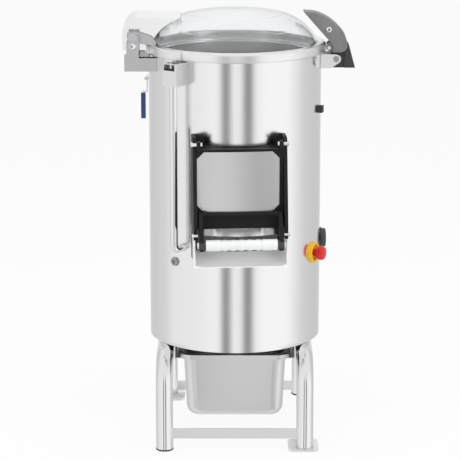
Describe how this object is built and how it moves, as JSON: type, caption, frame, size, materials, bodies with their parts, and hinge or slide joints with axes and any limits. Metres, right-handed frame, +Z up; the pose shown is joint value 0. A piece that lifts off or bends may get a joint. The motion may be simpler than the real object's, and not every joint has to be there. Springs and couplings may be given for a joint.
{
  "type": "electric potato peeler",
  "caption": "Floor-standing electric potato peeler: steel drum on tube legs, clear domed lid with latch, discharge door and trough, waste pan.",
  "frame": {"origin": "on the drum's axis at floor level, midway between the two floor-bolt holes", "axes": "+Z up along the drum's axis, the discharge door faces -Y, the latch is at +X and the lid's hinge at -X"},
  "size_m": [0.5454, 0.5319, 1.016],
  "materials": {
    "brushed_steel": "brushed stainless sheet",
    "tube_steel": "polished stainless tube and plate",
    "satin_steel": "satin stainless sheet",
    "polished_cover": "bright polished sheet",
    "cast_ring": "polished light alloy",
    "clear_dome": "clear moulded plastic, gloss",
    "black_plastic": "black moulded plastic, fine matt grain",
    "dark_knob": "dark moulded plastic",
    "white_grip": "white moulded plastic, satin",
    "yellow_collar": "yellow moulded plastic",
    "red_button": "red moulded plastic",
    "blue_grip": "dark blue soft plastic sleeve",
    "rubber": "black rubber",
    "grit": "bonded abrasive grit",
    "bearing_steel": "ground steel",
    "cast_iron": "machined casting",
    "motor_grey": "grey painted motor body",
    "brass_plate": "nickel plated valve"
  },
  "bodies": {
    "machine": {"left_leg_frame": "tube_steel", "right_leg_frame": "tube_steel", "crossbars": "tube_steel", "foot_plates": "tube_steel", "rubber_feet": "rubber", "stand_bolts": "bearing_steel", "pan_rails": "satin_steel", "drum_shell": "brushed_steel", "drum_base_plate": "satin_steel", "peeling_tub": "satin_steel", "tub_base": "satin_steel", "wall_lining": "grit", "drain_spout": "satin_steel", "bearing_housing": "cast_iron", "shaft_bearings": "bearing_steel", "shaft_seal": "rubber", "drive_belt": "rubber", "motor_body": "motor_grey", "motor_mount": "satin_steel", "hinge_brackets": "tube_steel", "hinge_shelf": "black_plastic", "lid_hinge_pin": "bearing_steel", "latch_ears": "tube_steel", "keeper_studs": "bearing_steel", "rubber_buffer": "rubber", "chute_frame": "black_plastic", "chute_trough": "satin_steel", "door_pins": "bearing_steel", "switch_box": "satin_steel", "lid_microswitch": "black_plastic", "switch_conduit": "tube_steel", "wall_plug": "black_plastic", "stop_collar": "yellow_collar", "control_contacts": "black_plastic", "valve_body": "brass_plate", "cable_gland": "black_plastic"},
    "waste_tray": {"waste_pan": "satin_steel"},
    "disc": {"peeling_disc": "grit", "drive_shaft": "bearing_steel", "driven_pulley": "cast_iron"},
    "motor_rotor": {"motor_pulley": "cast_iron"},
    "lid": {"lid_ring": "cast_ring", "lid_gasket": "rubber", "lid_dome": "clear_dome", "lid_arms": "tube_steel", "hinge_cover": "polished_cover", "lid_catch": "tube_steel", "lid_actuator": "tube_steel"},
    "latch": {"latch_core": "black_plastic", "latch_shell": "satin_steel"},
    "door": {"door_body": "black_plastic", "door_panel": "satin_steel", "door_skin": "satin_steel"},
    "handle": {"handle_arms": "black_plastic", "handle_grip": "white_grip", "grip_sleeves": "black_plastic"},
    "valve": {"valve_lever": "tube_steel", "valve_grip": "blue_grip"},
    "stop": {"stop_button": "red_button"},
    "timer": {"timer_knob": "dark_knob"}
  },
  "joints": [
    {"name": "pan_slide", "type": "slide", "parent": "machine", "child": "waste_tray", "axis": [0, -1, 0], "range_m": [0, 0.3]},
    {"name": "disc_spin", "type": "hinge", "parent": "machine", "child": "disc", "pos_m": [0, 0, 0.464], "axis": [0, 0, 1], "continuous": true},
    {"name": "motor_spin", "type": "hinge", "parent": "machine", "child": "motor_rotor", "pos_m": [0, 0.118, 0.261], "axis": [0, 0, 1], "continuous": true},
    {"name": "lid_hinge", "type": "hinge", "parent": "machine", "child": "lid", "pos_m": [-0.237, 0, 0.962], "axis": [0, -1, 0], "range_deg": [0, 95]},
    {"name": "latch_lever", "type": "hinge", "parent": "lid", "child": "latch", "pos_m": [0.222, 0, 0.925], "axis": [0, 1, 0], "range_deg": [0, 20]},
    {"name": "door_hinge", "type": "hinge", "parent": "machine", "child": "door", "pos_m": [0.01175, -0.22577, 0.735], "axis": [-0.9969, -0.0785, 0], "range_deg": [0, 90]},
    {"name": "door_handle", "type": "hinge", "parent": "door", "child": "handle", "pos_m": [0.01285, -0.23973, 0.575], "axis": [-0.9969, -0.0785, 0], "range_deg": [0, 45]},
    {"name": "valve_turn", "type": "hinge", "parent": "machine", "child": "valve", "pos_m": [-0.213, 0.177, 0.82], "axis": [1, 0, 0], "range_deg": [0, 90]},
    {"name": "stop_push", "type": "slide", "parent": "machine", "child": "stop", "axis": [-0.9063, 0.4226, 0], "range_m": [0, 0.005], "stiffness_N_per_m": 600, "springref_m": -0.002},
    {"name": "timer_turn", "type": "hinge", "parent": "machine", "child": "timer", "pos_m": [0.20871, 0.01094, 0.46], "axis": [0.9986, 0.0523, 0], "range_deg": [0, 300]}
  ],
  "couplings": [
    {"joint": "motor_spin", "follows": "disc_spin", "ratio": 3.7027}
  ]
}
